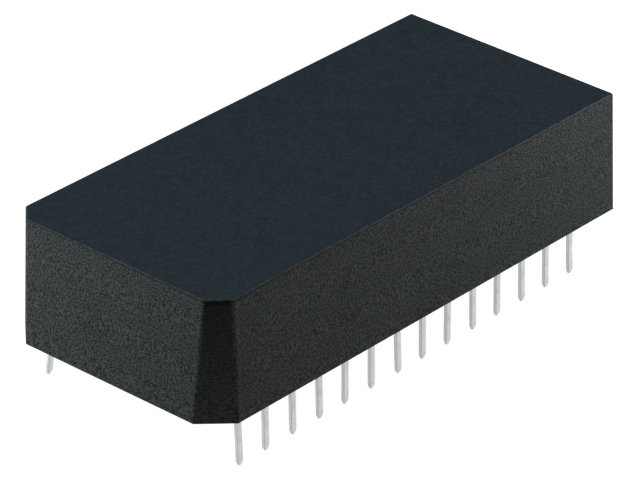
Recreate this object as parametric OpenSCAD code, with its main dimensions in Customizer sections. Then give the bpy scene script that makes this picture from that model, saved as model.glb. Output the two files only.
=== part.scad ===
// Tall dual in-line module: a moulded DIP package in the mouth of a potted cap, with a coin cell above it.
// Millimetres. X runs along the lead rows, Y across them and Z up.
// The origin is the centre of the lead pattern, in the seating plane.

/* [Leads] */
// Leads in each row
row_leads = 14; // [12:2:16]
// Distance between neighbouring leads
lead_pitch = 2.54; // [2.4:0.01:2.7]
// Distance between the two rows, where the leads turn down
row_space = 15.24; // [14.8:0.02:16]
// Thickness of the lead frame strip
lead_t = 0.25; // [0.2:0.01:0.31]
// Width of a lead below the seating plane
lead_w = 0.46; // [0.38:0.01:0.53]
// Width of a lead's shoulder
shoulder_w = 1.5; // [1.14:0.02:1.78]
// Height over which the shoulder narrows to the lead
shoulder_taper = 0.3; // [0.2:0.05:0.5]
// Length of a lead below the seating plane
lead_len = 3.5; // [3.05:0.05:3.8]
// Inside radius of the bend
bend_r = 0.25; // [0.15:0.05:0.4]
// How far each row leans outwards, in degrees
lead_splay = 3; // [0:0.5:5]
// Length of the pointed tip
tip_len = 0.45; // [0.3:0.05:0.7]
// Width of the tip's end
tip_w = 0.16; // [0.1:0.02:0.3]
// Height of the bevel on the tip's outer face
tip_bevel = 0.3; // [0.2:0.05:0.4]
// Thickness of the tip's end
tip_t = 0.12; // [0.08:0.01:0.18]

/* [Package] */
// Moulding beyond the last lead's centre
package_end = 1.85; // [1.6:0.05:2.6]
// Width of the moulding at its parting line
package_w = 13.8; // [13.4:0.1:14]
// Thickness of the moulding
package_h = 3.8; // [3.4:0.1:4.2]
// Draft of the moulding above and below its parting line, in degrees
package_draft = 7; // [3:1:10]
// Radius of the notch at the pin 1 end
notch_r = 1.2; // [0.8:0.1:1.6]
// Depth of the notch
notch_depth = 1; // [0.5:0.1:1.4]
// Radius of the ejector pin marks underneath
ejector_r = 0.8; // [0.5:0.1:1.2]
// Distance of each ejector pin mark from the middle of the package
ejector_x = 9; // [6:0.5:14]
// Depth of the ejector pin marks
ejector_depth = 0.08; // [0.04:0.02:0.2]

/* [Lead frame] */
// Length of the plate that carries the die
paddle_l = 8.4; // [8:0.2:9.6]
// Width of the plate that carries the die
paddle_w = 5.4; // [5.2:0.2:6.4]
// Width of the tie bars that held the plate in the strip
tie_w = 0.3; // [0.2:0.05:0.4]
// Width of a finger inside the moulding
finger_w = 0.36; // [0.25:0.01:0.4]
// Gap between the fingers and the plate
finger_gap = 0.25; // [0.2:0.05:0.5]
// Spacing of the finger tips along the plate's sides
side_tip_pitch = 1.05; // [0.9:0.05:1.1]
// Spacing of the finger tips along the plate's ends
end_tip_pitch = 0.6; // [0.6:0.02:0.66]
// Fingers that reach each half of a side of the plate
side_fingers = 4; // [3:1:4]
// Straight run of a finger inside the moulding
finger_run = 1.3; // [1:0.1:1.6]
// How much earlier each next finger of a side turns in to its tip
side_step = 0.45; // [0.35:0.05:0.55]
// How much earlier each next finger of an end turns in to its tip
end_step = 1.2; // [1:0.1:1.4]
// Depth to which the shoulder is moulded in
shoulder_grip = 0.5; // [0.3:0.1:0.8]
// Length of the die
die_l = 6.6; // [5:0.2:7.4]
// Width of the die
die_w = 4.2; // [3:0.2:4.6]
// Thickness of the die
die_t = 0.35; // [0.2:0.05:0.5]
// Thickness of a bond wire
wire_d = 0.05; // [0.04:0.01:0.06]
// Height of a bond wire's loop above the die
wire_loop = 0.2; // [0.15:0.05:0.3]
// Distance of a bond wire's foot from the die's edge
wire_inset = 0.2; // [0.15:0.05:0.3]

/* [Cap] */
// Wall thickness of the cap's sides
cap_wall = 0.7; // [0.6:0.05:1]
// Thickness of the cap's roof
cap_roof = 0.9; // [0.6:0.1:1.2]
// Draft of the cap's sides, in degrees
cap_draft = 2.5; // [1:0.1:3]
// Leg of the two cut corners at the pin 1 end, at the rim
corner_leg = 1.95; // [1:0.05:2.1]
// Radius of the cap's outer edges
edge_r = 0.12; // [0.05:0.01:0.3]
// Radius of the corners inside the cap
inner_r = 0.3; // [0.1:0.05:0.4]
// Height of the rim above the seating plane
standoff = 0.5; // [0.38:0.02:0.76]

/* [Cell] */
// Diameter of the coin cell
cell_d = 12.5; // [10:0.1:13]
// Height of the coin cell
cell_h = 2.5; // [1.6:0.1:3.2]
// Radius of the can's edge
cell_r = 0.3; // [0.1:0.05:0.5]
// Width of the ring between the can and the cell's lower cap
cell_rim = 0.9; // [0.6:0.1:1.2]
// Height by which the cell's lower cap stands out of the can
cell_step = 0.2; // [0.1:0.05:0.3]
// Distance of the cell's centre from the middle of the module
cell_x = 9; // [7:0.5:11]
// Width of the strips welded to the cell
tab_w = 2; // [1.5:0.1:3]
// Thickness of the strips
tab_t = 0.15; // [0.1:0.01:0.2]
// Distance of each strip from the middle plane
tab_y = 3; // [2:0.1:3.4]
// How far a strip reaches back over the cell from its centre
tab_reach = 2; // [1:0.5:4]
// How far a cell lead stands out of the package's end
stub_out = 0.1; // [0.05:0.01:0.3]
// Width of a cell lead outside the package
stub_w = 1; // [0.6:0.1:1.6]
// Depth to which the wide end of a cell lead is moulded in
stub_grip = 1; // [0.5:0.1:1.5]
// Straight run of a cell lead behind its wide end
stub_run = 1; // [0.5:0.1:1.5]
// Length over which a cell lead slants in towards the middle plane
stub_slant = 6; // [5:0.5:8]

/* [Potting] */
// Potting between the strips and the cap's end wall
end_fill = 0.1; // [0.05:0.05:0.6]
// Potting between a lead and the cap
side_fill = 0.5; // [0.4:0.05:1]
// Potting between the package and the lower strip
cell_gap = 0.4; // [0.2:0.05:0.8]
// Potting between the upper strip and the roof
roof_gap = 0.55; // [0.3:0.05:1]
// How far the package's underside lies inside the rim
package_sink = 0.15; // [0:0.05:0.3]
// How far the potting's surface lies inside the rim
potting_sink = 0.35; // [0.2:0.05:0.6]

/* [Hidden] */
lead_count = 2 * row_leads;
function lead_name(n) = str("lead_", n < 10 ? "0" : "", n);

// Heights above the seating plane
package_z = standoff + package_sink;
frame_z = package_z + package_h / 2;
package_top = package_z + package_h;
minus_tab_z = package_top + cell_gap;
cell_z = minus_tab_z + tab_t;
plus_tab_z = cell_z + cell_h;
cap_roof_z = plus_tab_z + tab_t + roof_gap;
cap_top = cap_roof_z + cap_roof;
tip_z = -lead_len;

// The rows keep their distance, and stay a bend's radius clear of a wider moulding
bend_mid_r = bend_r + lead_t / 2;
row_y = max(row_space / 2, package_w / 2 + bend_r + bend_mid_r);

// The cap is drawn round what it holds
package_l = (row_leads - 1) * lead_pitch + 2 * package_end;
strip_end = package_l / 2 + stub_out + tab_t;
strip_lean = (plus_tab_z + tab_t - standoff) * tan(cap_draft);
cavity_l = 2 * (strip_end + end_fill + strip_lean);
cavity_w = 2 * row_y + lead_t + 2 * side_fill;
cap_l = cavity_l + 2 * cap_wall;
cap_w = cavity_w + 2 * cap_wall;
cap_h = cap_top - standoff;
cavity_h = cap_roof_z - standoff;
// The cut corner's inner face keeps the wall's thickness
cavity_leg = corner_leg - cap_wall * (2 - sqrt(2));

// Lead bend, on the middle of the strip
bend_y = row_y - bend_mid_r;
bend_z = frame_z - bend_mid_r;
leg_len = (bend_z + lead_len) / cos(lead_splay) + bend_mid_r * sin(lead_splay);

// Places on the lead frame
half_row = row_leads / 2;
tip_y = paddle_w / 2 + finger_gap;
tip_x = paddle_l / 2 + finger_gap;
knee_y = package_w / 2 - finger_run;
frame_top = frame_z + lead_t / 2;
die_top = frame_top + die_t;

// Length by which cutting shapes run past what they cut
over = 1;
// Height of a sheet that stands for a flat outline
thin = 0.01;
round_fn = 24;
ball_fn = 20;
wire_fn = 8;
cell_fn = 96;

plastic = [0.17, 0.19, 0.21];
moulding = [0.10, 0.10, 0.11];
epoxy = [0.06, 0.06, 0.07];
tin = [0.74, 0.74, 0.76];
nickel = [0.66, 0.65, 0.62];
gold = [0.83, 0.66, 0.28];
silicon = [0.30, 0.32, 0.36];

// The six corners of a plan with two cut corners, each moved in by the edges' radius.
// A cut makes two corners of 45 degrees, and 22.5 is half of that.
function plan_corners(l, w, leg, r) = let (
    x = l / 2 - r,
    y = w / 2 - r,
    cut = leg - r + r * tan(22.5)
) [
    [x, -y],
    [x, y],
    [-x + cut, y],
    [-x, y - cut],
    [-x, -y + cut],
    [-x + cut, -y]
];

// A ball whose poles and equator are true to its radius
module ball(r) {
    rotate_extrude($fn = ball_fn)
        intersection() {
            circle(r, $fn = ball_fn);
            translate([0, -r]) square([r, 2 * r]);
        }
}

// Drafted box on z = 0 with rounded edges. The cut corners stay upright,
// so their legs shorten as the walls lean in.
module drafted_box(l, w, h, leg, r, draft) {
    lean = (h - r) * tan(draft);
    foot = plan_corners(l, w, leg, r);
    head = plan_corners(l - 2 * lean, w - 2 * lean, leg - 2 * lean, r);
    hull() {
        for (p = foot) translate(p) cylinder(r = r, h = thin, $fn = ball_fn);
        for (p = head) translate([p.x, p.y, h - r]) ball(r);
    }
}

// The outer shape of the cap, standing on its rim
module cap_outside() {
    translate([0, 0, standoff])
        drafted_box(cap_l, cap_w, cap_h, corner_leg, edge_r, cap_draft);
}

// The space inside the cap, which runs on past the rim with the same draft
module cap_inside() {
    spread = 2 * over * tan(cap_draft);
    translate([0, 0, standoff - over])
        drafted_box(
            cavity_l + spread,
            cavity_w + spread,
            cavity_h + over,
            cavity_leg + spread,
            inner_r,
            cap_draft
        );
}

module cap() {
    color(plastic)
        difference() {
            cap_outside();
            cap_inside();
        }
}

// Profile of a moulding that leans in above and below its parting line
module moulding_profile(width) {
    lean = package_h / 2 * tan(package_draft);
    polygon([
        [-width / 2 + lean, package_z],
        [width / 2 - lean, package_z],
        [width / 2, frame_z],
        [width / 2 - lean, package_top],
        [-width / 2 + lean, package_top],
        [-width / 2, frame_z]
    ]);
}

module notch() {
    translate([-package_l / 2, 0, package_top - notch_depth])
        cylinder(r = notch_r, h = notch_depth + over, $fn = round_fn);
}

module ejector_marks() {
    for (side = [-1, 1])
        translate([side * ejector_x, 0, package_z - over])
            cylinder(r = ejector_r, h = ejector_depth + over, $fn = round_fn);
}

// The package with nothing cut for what it holds
module package_block() {
    difference() {
        intersection() {
            rotate([90, 0, 0]) linear_extrude(package_w, center = true) moulding_profile(package_l);
            rotate([90, 0, 90]) linear_extrude(package_l, center = true) moulding_profile(package_w);
        }
        notch();
        ejector_marks();
    }
}

module package_body() {
    color(moulding)
        difference() {
            package_block();
            for (n = [1:lead_count]) place_lead(n) lead_metal(n);
            paddle_metal();
            stub_metal(1);
            stub_metal(-1);
            die_block();
            all_wires();
        }
}

// Direction of the run that ends at point k
function run_way(points, k) = (points[k] - points[k - 1]) / norm(points[k] - points[k - 1]);
// From the strip's middle to its left edge at point k, for a strip of width 2, with a mitre at a knee
function edge_way(points, k) = let (
    before = run_way(points, max(k, 1)),
    after = run_way(points, min(k + 1, len(points) - 1)),
    middle = (before + after) / norm(before + after)
) [-middle.y, middle.x] / (middle * after);

// A flat strip through a list of points, with mitred knees: along its left edge and back
function strip_outline(points, width) = let (last = len(points) - 1) concat(
    [for (k = [0:last]) points[k] + width / 2 * edge_way(points, k)],
    [for (k = [last:-1:0]) points[k] - width / 2 * edge_way(points, k)]
);

// Leads are counted outwards from the middle of a row: 0 is next to the middle
function lead_place(j) = (j + 0.5) * lead_pitch;
// Fingers for the plate's side end along it, and the rest end at the plate's end.
// The place next to the middle plane there is the cell lead's.
function end_tip(j) = (half_row - j + 1) * end_tip_pitch;
function finger_tip(j) = j < side_fingers
    ? [(j + 0.5) * side_tip_pitch, tip_y]
    : [tip_x, end_tip(j)];
function finger_knee(j) = finger_tip(j) + (j < side_fingers
    ? [0, side_step * (side_fingers - j + 0.5)]
    : [end_step * (j - side_fingers + 2), 0]);
function finger_path(j) = [
    [lead_place(j), package_w / 2 - shoulder_grip],
    [lead_place(j), knee_y],
    finger_knee(j),
    finger_tip(j)
];

module finger(j) {
    translate([0, 0, frame_z - lead_t / 2])
        linear_extrude(lead_t) polygon(strip_outline(finger_path(j), finger_w));
}

// Side view of the formed lead, from the moulding over the bend to the bevelled tip
module lead_profile() {
    inner = package_w / 2 - shoulder_grip;
    translate([inner, frame_z - lead_t / 2]) square([bend_y - inner, lead_t]);
    translate([bend_y, bend_z]) {
        intersection() {
            difference() {
                circle(bend_r + lead_t, $fn = round_fn * 2);
                circle(bend_r, $fn = round_fn * 2);
            }
            polygon([
                [0, 0],
                2 * bend_mid_r * [cos(lead_splay), sin(lead_splay)],
                2 * bend_mid_r * [1, 1],
                2 * bend_mid_r * [0, 1]
            ]);
        }
        rotate(lead_splay)
            polygon([
                [bend_r, 0],
                [bend_r, -leg_len],
                [bend_r + tip_t, -leg_len],
                [bend_r + lead_t, -leg_len + tip_bevel],
                [bend_r + lead_t, 0]
            ]);
    }
}

// Front view of the lead below the bend, with its shoulder and pointed tip
module lead_front() {
    top = frame_z + lead_t;
    polygon([
        [-tip_w / 2, tip_z - over],
        [tip_w / 2, tip_z - over],
        [tip_w / 2, tip_z],
        [lead_w / 2, tip_z + tip_len],
        [lead_w / 2, 0],
        [shoulder_w / 2, shoulder_taper],
        [shoulder_w / 2, top],
        [-shoulder_w / 2, top],
        [-shoulder_w / 2, shoulder_taper],
        [-lead_w / 2, 0],
        [-lead_w / 2, tip_z + tip_len],
        [-tip_w / 2, tip_z]
    ]);
}

// The part of a lead outside the moulding, for a row that stands at +Y
module formed_lead() {
    intersection() {
        rotate([90, 0, 90]) linear_extrude(shoulder_w + over, center = true) lead_profile();
        translate([0, 2 * row_y, 0])
            rotate([90, 0, 0]) linear_extrude(2 * row_y) lead_front();
        translate([-over, 0, tip_z]) cube([2 * over, 2 * row_y, frame_z + lead_t - tip_z]);
    }
}

// Lead 1 is at -X -Y; the numbers run along that row and back along the other
function lead_column(n) = n <= row_leads ? n - 1 : lead_count - n;
function lead_row(n) = n <= row_leads ? -1 : 1;
function lead_half(n) = lead_column(n) < half_row ? -1 : 1;
function lead_j(n) = lead_half(n) > 0 ? lead_column(n) - half_row : half_row - 1 - lead_column(n);

// Sets a lead that was drawn in the +X +Y quarter in its own quarter
module place_lead(n) {
    mirror([lead_half(n) < 0 ? 1 : 0, 0, 0])
        mirror([0, lead_row(n) < 0 ? 1 : 0, 0])
            children();
}

module lead_metal(n) {
    j = lead_j(n);
    translate([lead_place(j), 0, 0]) formed_lead();
    finger(j);
}

module lead(n) {
    color(tin) place_lead(n) lead_metal(n);
}

// Plate for the die, with the tie bars that held it in the strip
module paddle_metal() {
    translate([0, 0, frame_z - lead_t / 2])
        linear_extrude(lead_t) {
            square([paddle_l, paddle_w], center = true);
            square([package_l, tie_w], center = true);
        }
}

module die_paddle() {
    color(tin) paddle_metal();
}

module die_block() {
    translate([-die_l / 2, -die_w / 2, frame_top]) cube([die_l, die_w, die_t]);
}

module silicon_die() {
    color(silicon) die_block();
}

// A cell lead leaves the package's end at +X, on the side given by its sign
stub_root = package_l / 2 - stub_grip;
stub_path = [
    [stub_root, tab_y],
    [stub_root - stub_run, tab_y],
    [stub_root - stub_run - stub_slant, end_tip_pitch],
    [tip_x, end_tip_pitch]
];
// Its wide end, which carries on from the strip's outline
stub_end = [
    [stub_root, tab_y + stub_w / 2],
    [package_l / 2 + stub_out, tab_y + stub_w / 2],
    [package_l / 2 + stub_out, tab_y - stub_w / 2],
    [stub_root, tab_y - stub_w / 2]
];

module stub_metal(side) {
    mirror([0, side < 0 ? 1 : 0, 0])
        translate([0, 0, frame_z - lead_t / 2])
            linear_extrude(lead_t) polygon(concat(strip_outline(stub_path, finger_w), stub_end));
}

module cell_lead_plus() {
    color(tin) stub_metal(1);
}

module cell_lead_minus() {
    color(tin) stub_metal(-1);
}

// A bond wire rises from the die and runs down to the finger, where its end is pressed flat
module wire(foot, stitch) {
    peak = die_top + wire_loop;
    run = norm(stitch - foot);
    drop = peak - frame_top;
    intersection() {
        translate([foot.x, foot.y, peak])
            rotate([0, 0, atan2(stitch.y - foot.y, stitch.x - foot.x)])
                rotate([0, atan2(drop, run) + 90, 0])
                    cylinder(d = wire_d, h = norm([run, drop]) + wire_d, $fn = wire_fn);
        translate([-package_l / 2, -package_w / 2, frame_top]) cube([package_l, package_w, package_h]);
    }
    translate([foot.x, foot.y, die_top]) cylinder(d = wire_d, h = wire_loop, $fn = wire_fn);
}

// Where the wires of one quarter land on the die, and where they end on the fingers
function pad_side(j) = [(j + 0.5) * (die_l / 2 - wire_inset) / side_fingers, die_w / 2 - wire_inset];
function pad_end(y) = [die_l / 2 - wire_inset, y * (die_w / 2 - 2 * wire_inset) / end_tip(side_fingers)];
function stitch(j) = finger_tip(j) + (j < side_fingers ? [0, wire_inset] : [wire_inset, 0]);

module quarter_wires() {
    for (j = [0:half_row - 1])
        wire(j < side_fingers ? pad_side(j) : pad_end(end_tip(j)), stitch(j));
}

module all_wires() {
    for (a = [0, 1])
        for (b = [0, 1])
            mirror([a, 0, 0]) mirror([0, b, 0]) quarter_wires();
    for (b = [0, 1])
        mirror([0, b, 0]) wire(pad_end(end_tip_pitch), [tip_x + wire_inset, end_tip_pitch]);
}

module bond_wires() {
    color(gold) all_wires();
}

// Coin cell: a drawn can with its open edge crimped round the smaller lower cap
module cell_shape() {
    r = cell_d / 2;
    translate([cell_x, 0, cell_z])
        rotate_extrude($fn = cell_fn) {
            square([r - cell_rim, cell_h - cell_r]);
            translate([0, cell_step]) square([r, cell_h - cell_step - cell_r]);
            translate([0, cell_h - cell_r]) square([r - cell_r, cell_r]);
            translate([r - cell_r, cell_h - cell_r])
                intersection() {
                    circle(cell_r, $fn = round_fn);
                    square(cell_r);
                }
        }
}

module battery_cell() {
    color(nickel) cell_shape();
}

// Strip welded to the cell and bent down to the cell lead at the package's end
module tab_shape(z, side) {
    far = strip_end - tab_t;
    start = cell_x - tab_reach;
    foot = frame_z - lead_t;
    translate([0, side * tab_y - tab_w / 2, 0]) {
        translate([start, 0, z]) cube([far + tab_t - start, tab_w, tab_t]);
        translate([far, 0, foot]) cube([tab_t, tab_w, z + tab_t - foot]);
    }
}

module cell_tab_plus() {
    color(nickel) tab_shape(plus_tab_z, 1);
}

module cell_tab_minus() {
    color(nickel) tab_shape(minus_tab_z, -1);
}

module potting() {
    color(epoxy)
        difference() {
            cap_inside();
            translate([-cap_l, -cap_w, standoff + potting_sink - cap_h])
                cube([2 * cap_l, 2 * cap_w, cap_h]);
            package_block();
            for (n = [1:lead_count]) place_lead(n) translate([lead_place(lead_j(n)), 0, 0]) formed_lead();
            paddle_metal();
            stub_metal(1);
            stub_metal(-1);
            cell_shape();
            tab_shape(plus_tab_z, 1);
            tab_shape(minus_tab_z, -1);
        }
}

cap();
potting();
package_body();
die_paddle();
silicon_die();
bond_wires();
battery_cell();
cell_tab_plus();
cell_tab_minus();
cell_lead_plus();
cell_lead_minus();
for (n = [1:lead_count])
    lead(n);
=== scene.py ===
# Looks of a tall dual in-line chip module, over its packed construction.
# X runs along the rows of leads, Z is up, and everything is in metres.
import math
import random

import bmesh
import bpy
from mathutils import Matrix, Vector


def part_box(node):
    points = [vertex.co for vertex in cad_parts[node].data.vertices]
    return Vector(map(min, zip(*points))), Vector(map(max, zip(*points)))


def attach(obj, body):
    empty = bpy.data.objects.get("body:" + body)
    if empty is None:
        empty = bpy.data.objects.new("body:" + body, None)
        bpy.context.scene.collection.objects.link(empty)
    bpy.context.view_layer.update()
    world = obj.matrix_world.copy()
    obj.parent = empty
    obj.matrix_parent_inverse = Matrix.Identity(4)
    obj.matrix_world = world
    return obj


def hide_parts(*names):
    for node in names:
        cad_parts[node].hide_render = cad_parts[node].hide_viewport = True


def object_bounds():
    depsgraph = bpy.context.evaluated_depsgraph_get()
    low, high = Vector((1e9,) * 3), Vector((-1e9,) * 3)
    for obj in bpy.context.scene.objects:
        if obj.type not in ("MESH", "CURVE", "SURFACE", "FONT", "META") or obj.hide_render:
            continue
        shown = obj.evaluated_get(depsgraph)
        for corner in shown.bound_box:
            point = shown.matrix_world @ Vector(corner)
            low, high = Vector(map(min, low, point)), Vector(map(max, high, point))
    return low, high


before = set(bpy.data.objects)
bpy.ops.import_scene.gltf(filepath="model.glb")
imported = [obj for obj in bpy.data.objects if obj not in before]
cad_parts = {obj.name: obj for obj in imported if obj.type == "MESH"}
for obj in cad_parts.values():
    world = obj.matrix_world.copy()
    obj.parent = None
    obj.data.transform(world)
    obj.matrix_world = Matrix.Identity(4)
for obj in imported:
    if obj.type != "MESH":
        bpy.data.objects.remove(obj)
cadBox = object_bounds()
print("frame loaded:", len(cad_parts), "nodes")

mm = 0.001
tiny = 0.002 * mm  # slack when a place is compared
slack = 0.01 * mm  # the same where a thickness has moved the points
levelNormal = 0.9  # a face whose normal rises more than this is level
uprightNormal = 0.5  # and one whose normal rises less than this is upright
noiseLow, noiseHigh = 0.3, 0.7  # most of a noise lies between these


# Small tools for work in edit mode

def selectOnly(piece):
    if bpy.context.mode != "OBJECT":
        bpy.ops.object.mode_set(mode="OBJECT")
    bpy.ops.object.select_all(action="DESELECT")
    piece.select_set(True)
    bpy.context.view_layer.objects.active = piece


def settle(piece):  # puts the object at the origin, with its place in its mesh
    selectOnly(piece)
    bpy.ops.object.transform_apply(location=True, rotation=True, scale=True)


def openMesh(piece):
    selectOnly(piece)
    bpy.ops.object.mode_set(mode="EDIT")
    bpy.ops.mesh.select_all(action="DESELECT")


def pick(kind, test):  # selects the points, edges or faces that pass the test
    bpy.ops.mesh.select_mode(type=kind)
    bpy.ops.mesh.select_all(action="DESELECT")
    shape = bmesh.from_edit_mesh(bpy.context.edit_object.data)
    for item in {"VERT": shape.verts, "EDGE": shape.edges, "FACE": shape.faces}[kind]:
        if test(item):
            item.select_set(True)
    bmesh.update_edit_mesh(bpy.context.edit_object.data)


def middle(item):
    return sum((v.co for v in item.verts), Vector()) / len(item.verts)


def topOf(item):  # the height of its highest point
    return max(v.co.z for v in item.verts)


def looksUp(face):
    return face.normal.z > levelNormal


def looksDown(face):
    return face.normal.z < -levelNormal


def between(edge, one, other):  # an edge that joins a face of one finish to a face of the other
    found = [f.material_index for f in edge.link_faces]
    if len(found) != 2:
        return False
    return (found[0] in one and found[1] in other) or (found[1] in one and found[0] in other)


def slope(angle, height):
    return height * math.tan(math.radians(angle))


def addModifier(piece, kind, **settings):
    selectOnly(piece)
    bpy.ops.object.modifier_add(type=kind)
    modifier = piece.modifiers[-1]
    for name, value in settings.items():
        setattr(modifier, name, value)
    bpy.ops.object.modifier_apply(modifier=modifier.name)


def smooth(piece, angle=30):
    selectOnly(piece)
    bpy.ops.object.shade_smooth_by_angle(angle=math.radians(angle))


def pull(step):  # carries what is selected on to a new place, with new faces behind it
    bpy.ops.mesh.extrude_region_move(TRANSFORM_OT_translate={"value": step})


def grow(ratio, center):
    bpy.ops.transform.resize(value=ratio, center_override=center)


def leanIn(size, angle, height, center):  # narrows what is selected by the draft over this height
    lean = slope(angle, height)
    grow((1 - 2 * lean / size.x, 1 - 2 * lean / size.y, 1), center)


def turn(angle, axis, center):  # the minus is there because with no window it turns the other way
    bpy.ops.transform.rotate(value=-math.radians(angle), orient_axis=axis, center_override=center)


def cutCorners(start, reach, height, lean):  # takes both corners off the -X end of the open mesh
    for side in (-1, 1):
        corner = Vector((start, side * reach, height))
        facing = (-1, side, lean)
        bpy.ops.mesh.select_all(action="SELECT")
        bpy.ops.mesh.bisect(plane_co=corner, plane_no=facing, use_fill=True, clear_outer=True)


def faceOutwards():  # turns all faces of the open mesh outwards, and leaves edit mode
    bpy.ops.mesh.select_all(action="SELECT")
    bpy.ops.mesh.normals_make_consistent(inside=False)
    bpy.ops.object.mode_set(mode="OBJECT")


def mirrorCopy(piece, name, signs):  # a copy with its own mesh, in the quarter that the signs give
    selectOnly(piece)
    bpy.ops.object.duplicate(linked=False)
    copy = bpy.context.object
    copy.name = name
    grow(signs, (0, 0, 0))
    settle(copy)
    openMesh(copy)
    faceOutwards()
    return copy


# Small tools for finishes

def newFinish(name, color, roughness, metallic=0.0, specular=0.5):
    finish = bpy.data.materials.new(name)
    finish.use_nodes = True
    shader = finish.node_tree.nodes["Principled BSDF"]
    shader.inputs["Base Color"].default_value = (*color, 1)
    shader.inputs["Roughness"].default_value = roughness
    shader.inputs["Metallic"].default_value = metallic
    shader.inputs["Specular IOR Level"].default_value = specular
    finish.diffuse_color = (*color, 1)
    return finish


def addNode(finish, kind, **inputs):
    node = finish.node_tree.nodes.new(kind)
    for name, value in inputs.items():
        node.inputs[name.replace("_", " ")].default_value = value
    return node


def link(finish, output, target):
    finish.node_tree.links.new(output, target)


def objectPlace(finish, stretch=(1, 1, 1)):  # object coordinates, which may be stretched
    place = addNode(finish, "ShaderNodeTexCoord")
    mapping = addNode(finish, "ShaderNodeMapping", Scale=stretch)
    link(finish, place.outputs["Object"], mapping.inputs["Vector"])
    return mapping.outputs["Vector"]


def grain(finish, size, detail=2.0, stretch=(1, 1, 1)):  # noise whose lumps are about this big
    noise = addNode(finish, "ShaderNodeTexNoise", Scale=1 / size, Detail=detail, Roughness=0.6)
    link(finish, objectPlace(finish, stretch), noise.inputs["Vector"])
    return noise.outputs["Fac"]


def tint(finish, fac, dark, light, low=noiseLow, high=noiseHigh):  # runs from one colour to the other
    ramp = addNode(finish, "ShaderNodeValToRGB")
    ramp.color_ramp.elements[0].position = low
    ramp.color_ramp.elements[0].color = (*dark, 1)
    ramp.color_ramp.elements[1].position = high
    ramp.color_ramp.elements[1].color = (*light, 1)
    link(finish, fac, ramp.inputs["Fac"])
    return ramp.outputs["Color"]


def spread(finish, fac, low, high):  # turns a noise into a range of numbers
    span = addNode(
        finish,
        "ShaderNodeMapRange",
        From_Min=noiseLow,
        From_Max=noiseHigh,
        To_Min=low,
        To_Max=high,
    )
    link(finish, fac, span.inputs["Value"])
    return span.outputs["Result"]


def fadeUp(finish, start, end, low, high):  # a colour that changes evenly between two heights
    place = addNode(finish, "ShaderNodeTexCoord")
    split = addNode(finish, "ShaderNodeSeparateXYZ")
    link(finish, place.outputs["Object"], split.inputs["Vector"])
    rise = addNode(finish, "ShaderNodeMapRange", From_Min=start, From_Max=end)
    link(finish, split.outputs["Z"], rise.inputs["Value"])
    return tint(finish, rise.outputs["Result"], low, high, 0, 1)


def timesColor(finish, one, other):
    mix = finish.node_tree.nodes.new("ShaderNodeMix")
    mix.data_type = "RGBA"
    mix.blend_type = "MULTIPLY"
    mix.inputs["Factor"].default_value = 1
    link(finish, one, mix.inputs["A"])
    link(finish, other, mix.inputs["B"])
    return mix.outputs["Result"]


def relief(finish, fac, depth, below=None):  # a bump, on top of another where one is given
    bump = addNode(finish, "ShaderNodeBump", Strength=1.0, Distance=depth)
    link(finish, fac, bump.inputs["Height"])
    if below:
        link(finish, below, bump.inputs["Normal"])
    return bump.outputs["Normal"]


def feed(finish, **sockets):
    shader = finish.node_tree.nodes["Principled BSDF"]
    for name, output in sockets.items():
        link(finish, output, shader.inputs[name.replace("_", " ")])


def dress(node, finish):  # a node of the construction keeps its shape and gets this finish
    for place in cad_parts[node].material_slots:
        place.material = finish


# Camera, at the photograph's viewing angle

cameraPlace = {
    "spot": Vector((-192.402, -159.788, 141.079)) * mm,
    "yaw": -50.315,
    "down": 28.963,
    "roll": 1.846,
    "lens": 250.92,
    "sensor": 36,  # in millimetres, as the lens is
    "nearest": 0.01,
    "farthest": 10,
}


def makeCamera():
    yaw = math.radians(cameraPlace["yaw"])
    down = math.radians(cameraPlace["down"])
    level = math.cos(down)
    ahead = Vector((-math.sin(yaw) * level, math.cos(yaw) * level, -math.sin(down)))
    right = ahead.cross(Vector((0, 0, 1))).normalized()
    up = right.cross(ahead)
    unrolled = Matrix((right, up, -ahead)).transposed()
    rolled = unrolled @ Matrix.Rotation(math.radians(cameraPlace["roll"]), 3, "Z")
    bpy.ops.object.camera_add(location=cameraPlace["spot"])
    camera = bpy.context.object
    camera.rotation_mode = "QUATERNION"
    camera.rotation_quaternion = rolled.to_quaternion()
    camera.data.lens = cameraPlace["lens"]
    camera.data.sensor_width = cameraPlace["sensor"]
    camera.data.clip_start = cameraPlace["nearest"]
    camera.data.clip_end = cameraPlace["farthest"]
    bpy.context.scene.camera = camera


makeCamera()
print("camera set")


# Cap: a drafted moulding with two cut corners, open underneath

capSizes = {
    "wall": 0.7 * mm,
    "roof": 0.9 * mm,
    "draft": 2.5,
    "cornerLeg": 1.95 * mm,
    "cornerLean": 0.009,  # how much the leg grows with height
    "diagonalSlack": 0.1,
    "edgeRound": 0.14 * mm,
    "edgeSteps": 5,
    "polishedNormal": 0.55,  # the rounding is polished where its normal rises more than this, and painted dark as shade where it rises less
    "bandHeight": 0.42 * mm,  # how far the painted shade band at the top of a cut corner reaches down
    "bandEdge": 0.06 * mm,
    "rimRound": 0.04 * mm,
    "rimSteps": 2,
    "insideRound": 0.3 * mm,
    "insideSteps": 4,
}
capSide, capTop, capCut, capInside, capEdge, capBand = range(6)  # finishes of the cap's faces


def capSideFinish():  # spark-eroded skin
    finish = newFinish("cap eroded side", (0.0140, 0.0157, 0.0154), 0.62, specular=0.06)
    fine = grain(finish, 0.125 * mm, 3)
    cloud = grain(finish, 2.5 * mm, 3)
    feed(
        finish,
        Base_Color=tint(finish, fine, (0.0022, 0.0025, 0.0025), (0.0258, 0.0289, 0.0285), 0.4, 0.6),
        Roughness=spread(finish, cloud, 0.56, 0.68),
        Normal=relief(finish, fine, 0.05 * mm),
    )
    return finish


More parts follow.
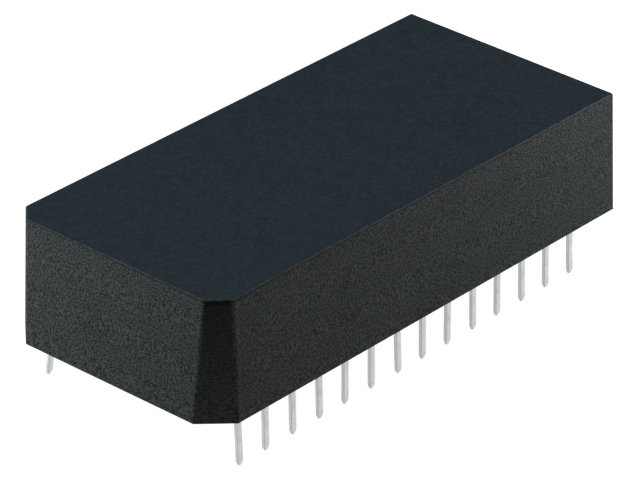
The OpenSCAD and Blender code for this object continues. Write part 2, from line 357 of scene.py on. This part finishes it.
def capTopFinish():  # smoother, in faint patches, and painted bluer than the sides as a sheen
    finish = newFinish("cap smooth top painted sheen", (0.0100, 0.0162, 0.0222), 0.5, specular=0.1)
    fine = grain(finish, 0.2 * mm, 2)
    patches = grain(finish, 0.8 * mm, 2)
    cloud = grain(finish, 4 * mm, 3)
    # painted sheen: a bluer colour than the sides' plastic
    grains = tint(finish, fine, (0.0073, 0.0122, 0.0168), (0.0100, 0.0162, 0.0218), 0.42, 0.58)
    shade = tint(finish, patches, (0.92, 0.92, 0.92), (1.07, 1.07, 1.07), 0.4, 0.6)
    feed(
        finish,
        Base_Color=timesColor(finish, grains, shade),
        Roughness=spread(finish, cloud, 0.46, 0.56),
        Normal=relief(finish, fine, 0.004 * mm),
    )
    return finish


def capCutFinish():  # faint lines left by the mould's milled faces, with painted light that makes it paler towards the rim and a painted shade band at its top
    finish = newFinish("cap cut corner", (0.006, 0.006, 0.006), 0.6, specular=0.04)
    lines = grain(finish, 0.11 * mm, 2, stretch=(0.45, 0.45, 1))
    streaks = tint(finish, lines, (0.0060, 0.0067, 0.0064), (0.0155, 0.0168, 0.0163), 0.38, 0.62)
    low, high = (corner.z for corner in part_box("cap"))
    # painted light: the cut corner is lighter towards the rim, as if the floor lit it
    shade = fadeUp(finish, low, high, (1.5, 1.5, 1.5), (0.6, 0.6, 0.6))
    # painted shade: a dark band at the top of the cut corner, under the edge
    start = high - capSizes["bandHeight"]
    band = fadeUp(finish, start, start + capSizes["bandEdge"], (1, 1, 1), (0.25, 0.32, 0.38))
    linesWithPaintedLightAndShade = timesColor(finish, timesColor(finish, streaks, shade), band)
    feed(finish, Base_Color=linesWithPaintedLightAndShade, Normal=relief(finish, lines, 0.004 * mm))
    return finish


def capEdgeFinish():  # the top's rounded edges, where handling has polished small spots
    finish = newFinish("cap rounded edge", (0.018, 0.021, 0.023), 0.45, specular=0.15)
    spots = grain(finish, 0.3 * mm, 3)
    feed(
        finish,
        Base_Color=tint(finish, spots, (0.002, 0.003, 0.0038), (0.0165, 0.0205, 0.0235), 0.38, 0.62),
        Roughness=spread(finish, spots, 0.42, 0.6),
    )
    return finish


def capBandFinish():  # painted shade: the rounding's lower facets are dark, a painted dark line under the top's edge
    finish = newFinish("cap edge painted shade", (0.005, 0.0055, 0.0055), 0.6, specular=0.04)
    fine = grain(finish, 0.15 * mm, 2)
    shade = tint(finish, fine, (0.003, 0.0033, 0.0033), (0.008, 0.0088, 0.0086), 0.4, 0.6)
    feed(finish, Base_Color=shade)
    return finish


def capInsideFinish():
    finish = newFinish("cap inside", (0.012, 0.013, 0.014), 0.5, specular=0.3)
    fine = grain(finish, 0.2 * mm, 2)
    feed(finish, Normal=relief(finish, fine, 0.004 * mm))
    return finish


def outward(face):  # whether a wall's face looks away from the cap's middle
    return face.normal.x * middle(face).x + face.normal.y * middle(face).y > 0


def diagonal(face):
    return abs(abs(face.normal.x) - abs(face.normal.y)) < capSizes["diagonalSlack"]


def shapeCap(low, high):
    size = high - low
    bpy.ops.mesh.primitive_cube_add(size=1, location=(low + high) / 2, scale=size)
    cap = bpy.context.object
    cap.name = "cap_shell"
    settle(cap)
    openMesh(cap)

    # the walls lean in to the top, and two corners are cut
    pick("FACE", looksUp)
    leanIn(size, capSizes["draft"], size.z, (0, 0, high.z))
    cutCorners(low.x + capSizes["cornerLeg"], high.y, low.z, capSizes["cornerLean"])

    # the cavity, drafted as the outside is
    depth = size.z - capSizes["roof"]
    mouth = size - Vector((2, 2, 0)) * capSizes["wall"]
    pick("FACE", looksDown)
    bpy.ops.mesh.inset(thickness=capSizes["wall"], depth=0)
    pull((0, 0, depth))
    leanIn(mouth, capSizes["draft"], depth, (0, 0, low.z + depth))
    return cap


def finishCapFaces(cap):
    makers = capSideFinish, capTopFinish, capCutFinish, capInsideFinish, capEdgeFinish, capBandFinish
    for maker in makers:
        cap.data.materials.append(maker())
    shape = bmesh.from_edit_mesh(cap.data)
    for face in shape.faces:
        if looksUp(face):
            face.material_index = capTop
        elif abs(face.normal.z) >= uprightNormal or not outward(face):
            face.material_index = capInside
        elif diagonal(face):
            face.material_index = capCut
        else:
            face.material_index = capSide
    bmesh.update_edit_mesh(cap.data)


def roundCapEdges(cap, low, high):  # inside first, then the rim, then the outside
    s = capSizes
    halfway = (low.z + high.z) / 2
    pick("EDGE", lambda e: between(e, (capInside,), (capInside,)) and topOf(e) > halfway)
    bpy.ops.mesh.bevel(offset=s["insideRound"], segments=s["insideSteps"])
    pick("EDGE", lambda e: topOf(e) < low.z + tiny)
    bpy.ops.mesh.bevel(offset=s["rimRound"], segments=s["rimSteps"])
    outside = (capSide, capCut)
    pick("EDGE", lambda e: between(e, outside, outside + (capTop,)) and topOf(e) > high.z - tiny)
    bpy.ops.mesh.bevel(offset=s["edgeRound"], segments=s["edgeSteps"], material=capEdge)

    # only the top's edges are polished, above a band painted dark as shade
    shape = bmesh.from_edit_mesh(cap.data)
    for face in [f for f in shape.faces if f.material_index == capEdge]:
        if middle(face).z < high.z - s["edgeRound"]:
            face.material_index = capSide
        elif face.normal.z < s["polishedNormal"]:
            face.material_index = capBand
    bmesh.update_edit_mesh(cap.data)


def makeCap():
    low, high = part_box("cap")
    cap = shapeCap(low, high)
    finishCapFaces(cap)
    roundCapEdges(cap, low, high)
    smooth(cap)
    addModifier(cap, "WEIGHTED_NORMAL", keep_sharp=True)
    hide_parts("cap")
    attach(cap, "root")


makeCap()
print("cap done")


# Leads: stamped strips that fan in to the die's plate, bent down at the package's sides

leadSizes = {
    "perRow": 14,
    "pitch": 2.54 * mm,
    "thickness": 0.25 * mm,
    "fingerWidth": 0.36 * mm,
    "shoulderWidth": 1.5 * mm,
    "width": 0.46 * mm,
    "shoulderEnd": 0.3 * mm,
    "bendMiddle": 0.375 * mm,  # radius of the bend, on the strip's middle
    "bendSteps": 9,
    "bendY": 7.245 * mm,
    "splay": 3,
    # how wide the lead still is at each height above its tip
    "tipCurve": [(0.36 * mm, 1), (0.26 * mm, 0.93), (0.13 * mm, 0.74), (0.04 * mm, 0.52), (0, 0.36)],
    "tipBevel": 0.3 * mm,
    "tipThickness": 0.1 * mm,
    "dipLength": 1.6 * mm,  # how far the solder reaches up from the tip
    "dipStep": 0.03 * mm,
    "dipSwell": 1.02,
    "edgeRound": 0.045 * mm,
    "edgeSteps": 2,
    "edgeAngle": 30,
    # the fan: fingers end along the plate's side, and the outer ones at its end
    "sideFingers": 4,
    "sideTipPitch": 1.05 * mm,
    "endTipPitch": 0.6 * mm,
    "tipX": 4.45 * mm,
    "tipY": 2.95 * mm,
    "sideStep": 0.45 * mm,
    "endStep": 1.2 * mm,
    "kneeY": 5.6 * mm,
    "gripY": 6.4 * mm,
    "gripStep": 0.05 * mm,
    "leanSpread": 0.04 * mm,
    "seed": 28,
}
# how far some tips lean along the row, as handling has left them
leadLeans = {
    1: 0.13 * mm,
    2: 0.01 * mm,
    5: -0.06 * mm,
    7: 0.10 * mm,
    9: -0.07 * mm,
    14: 0.07 * mm,
    28: 0.03 * mm,
}
leadSpreads = {28: 0.2 * mm}  # and how far one leans out from its row
leadBare, leadDipped, leadSide, leadEdge = range(4)  # finishes of a lead's faces


def leadBareFinish():
    finish = newFinish("lead bare tin", (0.50, 0.50, 0.51), 0.38, metallic=1.0)
    fine = grain(finish, 0.08 * mm, 3, stretch=(1, 1, 0.25))
    cloud = grain(finish, 0.9 * mm, 2)
    feed(
        finish,
        Base_Color=tint(finish, cloud, (0.45, 0.45, 0.455), (0.57, 0.57, 0.575)),
        Roughness=spread(finish, cloud, 0.34, 0.44),
        Normal=relief(finish, fine, 0.002 * mm),
    )
    return finish


def leadDippedFinish():
    finish = newFinish("lead solder dip", (0.54, 0.54, 0.55), 0.30, metallic=1.0)
    fine = grain(finish, 0.15 * mm, 2)
    feed(
        finish,
        Base_Color=tint(finish, fine, (0.48, 0.48, 0.485), (0.61, 0.61, 0.615)),
        Roughness=spread(finish, fine, 0.26, 0.38),
        Normal=relief(finish, fine, 0.006 * mm),
    )
    return finish


def leadSideFinish():  # where the strip was cut the plating is dull, and the tin is painted darker here as shade
    finish = newFinish("lead stamped side", (0.48, 0.48, 0.485), 0.45, metallic=1.0)
    fine = grain(finish, 0.1 * mm, 3)
    feed(
        finish,
        # painted shade: the cut sides are darker tin than the faces
        Base_Color=tint(finish, fine, (0.42, 0.42, 0.425), (0.55, 0.55, 0.555)),
        Roughness=spread(finish, fine, 0.4, 0.55),
    )
    return finish


# painted shade: the rounded edges are darker tin, a dark outline along each lead
def leadEdgeFinish():
    finish = newFinish("lead edge painted shade", (0.42, 0.42, 0.425), 0.4, metallic=1.0)
    fine = grain(finish, 0.2 * mm, 3)
    feed(
        finish,
        Base_Color=tint(finish, fine, (0.35, 0.35, 0.355), (0.49, 0.49, 0.495)),
        Roughness=spread(finish, fine, 0.36, 0.5),
    )
    return finish


def middleHeight(node):
    low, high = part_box(node)
    return (low.z + high.z) / 2


def fingerPath(place):  # from a finger's tip out to where its shoulder starts, all at one height
    s = leadSizes
    height = middleHeight("die_paddle")
    row = (place + 0.5) * s["pitch"]
    if place < s["sideFingers"]:
        tip = Vector(((place + 0.5) * s["sideTipPitch"], s["tipY"], height))
        knee = tip + Vector((0, s["sideStep"] * (s["sideFingers"] - place + 0.5), 0))
    else:
        tip = Vector((s["tipX"], s["endTipPitch"] * (s["perRow"] / 2 - place + 1), height))
        knee = tip + Vector((s["endStep"] * (place - s["sideFingers"] + 2), 0, 0))
    straight = Vector((row, s["kneeY"], height))
    root = Vector((row, s["gripY"] - s["gripStep"], height))
    return [tip, knee, straight, root]


def heading(start, end):  # in degrees, in the plane of the strip
    return math.degrees(math.atan2(end.y - start.y, end.x - start.x))


def drawFinger(path):  # a flat sheet from the tip, with a mitre at each knee
    flat = (0, 0, math.radians(heading(path[0], path[1])))
    bpy.ops.mesh.primitive_plane_add(size=1, location=(path[0] + path[1]) / 2, rotation=flat)
    lead = bpy.context.object
    lead.scale = ((path[1] - path[0]).length, leadSizes["fingerWidth"], 1)
    settle(lead)
    openMesh(lead)
    pick("EDGE", lambda e: (middle(e) - path[1]).length < tiny)
    facing, stretched = heading(path[0], path[1]), 1.0
    for k in (1, 2):
        came, goes = heading(path[k - 1], path[k]), heading(path[k], path[k + 1])
        half = (goes - came) / 2
        turn(came + half - facing, "Z", path[k])
        ratio = 1 / math.cos(math.radians(half)) / stretched
        grow((ratio, ratio, ratio), path[k])
        facing, stretched = came + half, stretched * ratio
        pull(path[k + 1] - path[k])
    turn(goes - facing, "Z", path[3])
    grow((1 / stretched, 1 / stretched, 1 / stretched), path[3])
    return lead


def drawLeg(spot, tipZ):  # from the bend down to the tip, each stretch at its own width
    s = leadSizes
    dip = tipZ + s["dipLength"]
    dipWidth = s["width"] * s["dipSwell"]
    stations = [
        (s["shoulderEnd"], s["shoulderWidth"]),
        (0, s["width"]),
        (dip + s["dipStep"], s["width"]),
        (dip, dipWidth),
    ]
    stations += [(tipZ + height, dipWidth * share) for height, share in s["tipCurve"]]
    wide = s["shoulderWidth"]
    for height, newWidth in stations:
        step = Vector((0, slope(s["splay"], spot.z - height), height - spot.z))
        pull(step)
        spot = spot + step
        grow((newWidth / wide, 1, 1), spot)
        wide = newWidth
    return spot


def drawShoulder(root):  # the wide stretch and the bend after it, whose end it gives
    s = leadSizes
    splay = math.radians(s["splay"])
    pull((0, s["gripStep"], 0))
    grow((s["shoulderWidth"] / s["fingerWidth"], 1, 1), root)
    pull((0, s["bendY"] - s["gripY"], 0))
    center = Vector((root.x, s["bendY"], root.z - s["bendMiddle"]))
    quarter = math.radians(90 - s["splay"])
    bpy.ops.mesh.spin(steps=s["bendSteps"], angle=quarter, center=center, axis=(1, 0, 0))
    return center + Vector((0, math.cos(splay), math.sin(splay))) * s["bendMiddle"]


def coinTip(foot):  # thins the tip from both faces
    s = leadSizes
    most = (s["thickness"] - s["tipThickness"]) / 2
    for height in [station[0] for station in s["tipCurve"]]:
        cut = most * max(0, 1 - height / s["tipBevel"])
        for way in (-1, 1):
            pick("VERT", lambda v: abs(v.co.z - foot.z - height) < slack and (v.co.y - foot.y) * way > 0)
            bpy.ops.transform.translate(value=(0, -way * cut, 0))


def finishLeadFaces(lead, foot):  # solder up to where the lead was dipped, and bare tin above
    dipTop = foot.z + leadSizes["dipLength"] + leadSizes["dipStep"]
    shape = bmesh.from_edit_mesh(lead.data)
    for face in shape.faces:
        if face.material_index != leadSide:
            face.material_index = leadDipped if middle(face).z < dipTop else leadBare
    bmesh.update_edit_mesh(lead.data)


def makeLeadPattern(place, finishes):  # the lead at this place from the middle of a row, at +X +Y
    s = leadSizes
    path = fingerPath(place)
    lead = drawFinger(path)
    for finish in finishes:
        lead.data.materials.append(finish)
    foot = drawLeg(drawShoulder(path[3]), cadBox[0].z)
    faceOutwards()
    addModifier(
        lead,
        "SOLIDIFY",
        thickness=s["thickness"],
        offset=0,
        use_even_offset=True,
        material_offset_rim=leadSide,
    )
    openMesh(lead)
    coinTip(foot)
    finishLeadFaces(lead, foot)
    bpy.ops.object.mode_set(mode="OBJECT")
    addModifier(
        lead,
        "BEVEL",
        width=s["edgeRound"],
        segments=s["edgeSteps"],
        limit_method="ANGLE",
        angle_limit=math.radians(s["edgeAngle"]),
        use_clamp_overlap=False,
        material=leadEdge,
    )
    smooth(lead)
    addModifier(lead, "WEIGHTED_NORMAL", keep_sharp=True)
    return lead


def legY(height):  # how far out the middle of a leg is at this height
    s = leadSizes
    splay = math.radians(s["splay"])
    bendEnd = middleHeight("die_paddle") - s["bendMiddle"] * (1 - math.sin(splay))
    return s["bendY"] + s["bendMiddle"] * math.cos(splay) + slope(s["splay"], bendEnd - height)


def leanLead(lead, root, along, out):  # tips the leg below its shoulder, by so much at the tip
    length = -cadBox[0].z
    openMesh(lead)
    pick("VERT", lambda v: v.co.z < tiny)
    turn(-math.degrees(math.asin(along / length)), "Y", root)
    turn(math.degrees(math.asin(out / length)), "X", root)
    bpy.ops.object.mode_set(mode="OBJECT")


def leadNumber(place, signX, signY):  # lead 1 is at -X -Y, and the numbers go round
    half = leadSizes["perRow"] // 2
    column = half + place if signX > 0 else half - 1 - place
    return column + 1 if signY < 0 else 2 * leadSizes["perRow"] - column


def makeLeads():
    draw = random.Random(leadSizes["seed"])
    finishes = leadBareFinish(), leadDippedFinish(), leadSideFinish(), leadEdgeFinish()
    for place in range(leadSizes["perRow"] // 2):
        pattern = makeLeadPattern(place, finishes)
        for signX, signY in ((1, 1), (1, -1), (-1, 1), (-1, -1)):
            number = leadNumber(place, signX, signY)
            lead = mirrorCopy(pattern, "formed_lead_%02d" % number, (signX, signY, 1))
            chance = draw.uniform(-1, 1) * leadSizes["leanSpread"]
            root = Vector((signX * (place + 0.5) * leadSizes["pitch"], signY * legY(0), 0))
            leanLead(lead, root, leadLeans.get(number, chance), signY * leadSpreads.get(number, 0))
            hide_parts("lead_%02d" % number)
            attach(lead, "root")
        bpy.data.objects.remove(pattern)


makeLeads()
print("leads done")


# Potting: the epoxy creeps up the walls, the package and the leads before it sets

pottingSizes = {
    "sunk": 0.02 * mm,  # how far the creep's foot reaches into what it stands on
    # how far the creep stands out from the epoxy's face, and how far it reaches aside there
    "curve": [(0.17 * mm, 0), (0.10 * mm, 0.03 * mm), (0.045 * mm, 0.08 * mm), (0.005 * mm, 0.17 * mm)],
    "cornerRound": 0.03 * mm,
    "cornerSteps": 5,
    "packageDraft": 7,
}


def pottingFinish():  # cast epoxy, glossy, with slow waves and fine filler
    finish = newFinish("potting epoxy", (0.010, 0.010, 0.011), 0.24, specular=0.5)
    slow = grain(finish, 3 * mm, 1)
    filler = grain(finish, 0.12 * mm, 3)
    feed(
        finish,
        Base_Color=tint(finish, filler, (0.007, 0.007, 0.008), (0.014, 0.014, 0.015), 0.4, 0.6),
        Roughness=spread(finish, slow, 0.18, 0.32),
        Normal=relief(finish, filler, 0.002 * mm, relief(finish, slow, 0.05 * mm)),
    )
    return finish


def creepOutside(name, around, size, face):  # the creep round what stands out of the epoxy
    s = pottingSizes
    height, reach = s["curve"][-1]
    spot = Vector((around.x, around.y, face + s["sunk"]))
    bpy.ops.mesh.primitive_plane_add(size=1, location=spot, rotation=(math.pi, 0, 0))
    creep = bpy.context.object
    creep.name = name
    creep.scale = (size.x + 2 * reach, size.y + 2 * reach, 1)
    settle(creep)
    openMesh(creep)
    bpy.ops.mesh.select_all(action="SELECT")
    bpy.ops.mesh.bevel(offset=reach + s["cornerRound"], segments=s["cornerSteps"], affect="VERTICES")
    pull((0, 0, -s["sunk"] - height))
    for above, inner in reversed(s["curve"][:-1]):
        bpy.ops.mesh.inset(thickness=reach - inner, depth=above - height)
        height, reach = above, inner
    faceOutwards()
    return creep


def creepWall(face):  # the creep along the cap's inner walls
    s = pottingSizes
    low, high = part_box("cap")
    rise = s["curve"][0][0]
    inset = capSizes["wall"] + slope(capSizes["draft"], face - rise - low.z) - s["sunk"]
    wall = Vector((inset, inset, 0))
    one = Vector((low.x, low.y, face - rise)) + wall
    other = Vector((high.x, high.y, face + s["sunk"])) - wall
    bpy.ops.mesh.primitive_cube_add(size=1, location=(one + other) / 2, scale=other - one)
    creep = bpy.context.object
    creep.name = "wall_creep"
    settle(creep)
    openMesh(creep)
    leg = capSizes["cornerLeg"] - (2 - math.sqrt(2)) * inset  # so that the cut is as far in as the walls
    cutCorners(one.x + leg, other.y, 0, 0)
    pick("FACE", looksDown)
    bpy.ops.mesh.inset(thickness=s["sunk"], depth=0)
    for (above, inner), (height, reach) in zip(s["curve"], s["curve"][1:]):
        bpy.ops.mesh.inset(thickness=reach - inner, depth=height - above)
    bpy.ops.mesh.delete(type="FACE")
    pick("FACE", looksUp)
    bpy.ops.mesh.inset(thickness=s["curve"][-1][1] + s["sunk"], depth=0)
    bpy.ops.mesh.delete(type="FACE")
    pick("EDGE", lambda e: len(e.link_faces) == 1)
    bpy.ops.mesh.bridge_edge_loops()
    faceOutwards()
    return creep


def makePottingCreep():
    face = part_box("potting")[0].z
    within = Vector((2, 2)) * pottingSizes["sunk"]
    low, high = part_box("package_body")
    below = middleHeight("package_body") - face
    narrower = Vector((2, 2)) * slope(pottingSizes["packageDraft"], below)
    package = (high - low).to_2d() - narrower
    parts = [creepWall(face), creepOutside("package_creep", Vector((0, 0)), package - within, face)]
    shoulder = Vector((leadSizes["shoulderWidth"], leadSizes["thickness"]))
    for place in range(leadSizes["perRow"]):
        column = (place - (leadSizes["perRow"] - 1) / 2) * leadSizes["pitch"]
        for side in (-1, 1):
            spot = Vector((column, side * legY(face)))
            parts.append(creepOutside("lead_creep", spot, shoulder - within, face))
    bpy.ops.object.select_all(action="DESELECT")
    for part in parts:
        part.select_set(True)
    bpy.context.view_layer.objects.active = parts[0]
    bpy.ops.object.join()
    creep = bpy.context.object
    creep.name = "potting_creep"
    epoxy = pottingFinish()
    creep.data.materials.append(epoxy)
    smooth(creep)
    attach(creep, "root")
    dress("potting", epoxy)


makePottingCreep()
print("potting done")


# Inner pieces, which keep the shapes of the construction

def packageFinish():  # moulding compound: matt, with fine filler
    finish = newFinish("package compound", (0.017, 0.017, 0.018), 0.55, specular=0.35)
    filler = grain(finish, 0.08 * mm, 3)
    cloud = grain(finish, 2 * mm, 2)
    feed(
        finish,
        Base_Color=tint(finish, filler, (0.011, 0.011, 0.012), (0.024, 0.024, 0.025), 0.4, 0.6),
        Roughness=spread(finish, cloud, 0.48, 0.62),
        Normal=relief(finish, filler, 0.008 * mm),
    )
    return finish


def dieFinish():  # polished silicon under a thin oxide
    finish = newFinish("die silicon", (0.12, 0.13, 0.16), 0.18, metallic=0.7)
    blocks = grain(finish, 0.5 * mm, 0)
    feed(
        finish,
        Base_Color=tint(finish, blocks, (0.09, 0.10, 0.15), (0.17, 0.15, 0.17)),
        Roughness=spread(finish, blocks, 0.14, 0.24),
    )
    return finish


def wireFinish():
    finish = newFinish("drawn gold wire", (0.90, 0.62, 0.24), 0.25, metallic=1.0)
    drawn = grain(finish, 0.03 * mm, 2)
    feed(
        finish,
        Base_Color=tint(finish, drawn, (0.84, 0.56, 0.20), (0.94, 0.67, 0.29)),
        Roughness=spread(finish, drawn, 0.2, 0.34),
    )
    return finish


def cellFinish():  # pressed steel can with a nickel skin
    finish = newFinish("cell steel", (0.60, 0.59, 0.56), 0.3, metallic=1.0)
    rubbed = grain(finish, 0.25 * mm, 3, stretch=(0.2, 1, 1))
    feed(
        finish,
        Base_Color=tint(finish, rubbed, (0.54, 0.53, 0.50), (0.66, 0.65, 0.62)),
        Roughness=spread(finish, rubbed, 0.24, 0.4),
        Normal=relief(finish, rubbed, 0.001 * mm),
    )
    return finish


def stripFinish():  # rolled nickel, with lines along the strip
    finish = newFinish("strip nickel", (0.56, 0.53, 0.47), 0.36, metallic=1.0)
    rolled = grain(finish, 0.1 * mm, 3, stretch=(0.1, 1, 1))
    feed(
        finish,
        Base_Color=tint(finish, rolled, (0.50, 0.47, 0.42), (0.62, 0.59, 0.53)),
        Roughness=spread(finish, rolled, 0.3, 0.44),
        Normal=relief(finish, rolled, 0.002 * mm),
    )
    return finish


def dressInnerPieces():
    dress("package_body", packageFinish())
    dress("silicon_die", dieFinish())
    dress("bond_wires", wireFinish())
    dress("battery_cell", cellFinish())
    tin = leadBareFinish()
    for node in ("die_paddle", "cell_lead_plus", "cell_lead_minus"):
        dress(node, tin)
    nickel = stripFinish()
    for node in ("cell_tab_plus", "cell_tab_minus"):
        dress(node, nickel)


dressInnerPieces()
print("inner pieces dressed")


# Floor and light

stageLook = {
    "floorSize": 4.0,
    "floorGlow": 0.96,  # a light table, so it shows next to no shadow
    "floorGrain": 1.5 * mm,
    "wallRadius": 1.2,
    "wallHeight": 1.2,
    "wallSides": 96,
    "skyColor": (0.88, 0.97, 1.08),
    "skyStrength": 0.1,
    "lightColor": (0.92, 1.0, 0.99),
    # where each soft light stands, how wide it is and how bright
    "softLights": {
        "left end": ((-0.06, 0.05, 0.015), 0.03, 0.078),
        "right end": ((0.07, -0.027, 0.012), 0.03, 0.068),
        "over left edge": ((-0.29, 0.33, 0.40), 0.3, 0.6),
        "over right edge": ((0.40, -0.29, 0.33), 0.3, 0.9),
        "above": ((0.05, 0.15, 0.7), 0.8, 5.0),
    },
}


def glassFinish():
    glass = newFinish("opal glass", (0.15, 0.15, 0.15), 0.9, specular=0.0)
    feed(glass, Roughness=spread(glass, grain(glass, stageLook["floorGrain"]), 0.85, 0.95))
    glow = glass.node_tree.nodes["Principled BSDF"]
    glow.inputs["Emission Color"].default_value = (1, 1, 1, 1)
    glow.inputs["Emission Strength"].default_value = stageLook["floorGlow"]
    return glass


def makeFloor(height, glass):
    bpy.ops.mesh.primitive_plane_add(size=stageLook["floorSize"], location=(0, 0, height))
    floor = bpy.context.object
    floor.name = "floor"
    settle(floor)
    floor.data.materials.append(glass)


def makeBackdrop(height, glass):  # it is there for the camera alone and doesn't light the part
    bpy.ops.mesh.primitive_cylinder_add(
        vertices=stageLook["wallSides"],
        radius=stageLook["wallRadius"],
        depth=stageLook["wallHeight"],
        end_fill_type="NOTHING",
        location=(0, 0, height + stageLook["wallHeight"] / 2),
    )
    wall = bpy.context.object
    wall.name = "backdrop"
    settle(wall)
    smooth(wall)
    wall.data.materials.append(glass)
    wall.visible_diffuse = False
    wall.visible_glossy = False
    wall.visible_transmission = False
    wall.visible_shadow = False


def makeLights():
    for name, (spot, width, power) in stageLook["softLights"].items():
        bpy.ops.object.light_add(type="AREA", location=spot)
        light = bpy.context.object
        light.name = name + " soft light"
        light.data.shape = "DISK"
        light.data.size = width
        light.data.energy = power
        light.data.color = stageLook["lightColor"]
        light.visible_camera = False
        light.rotation_mode = "QUATERNION"
        light.rotation_quaternion = (-Vector(spot)).to_track_quat("-Z", "Y")


def makeSky():
    world = bpy.data.worlds.new("studio")
    bpy.context.scene.world = world
    world.use_nodes = True
    sky = world.node_tree.nodes["Background"]
    sky.inputs["Color"].default_value = (*stageLook["skyColor"], 1)
    sky.inputs["Strength"].default_value = stageLook["skyStrength"]
    bpy.context.scene.view_settings.view_transform = "Standard"


def makeStage():
    height = cadBox[0].z
    glass = glassFinish()
    makeFloor(height, glass)
    makeBackdrop(height, glass)
    makeLights()
    makeSky()


makeStage()
print("stage done")
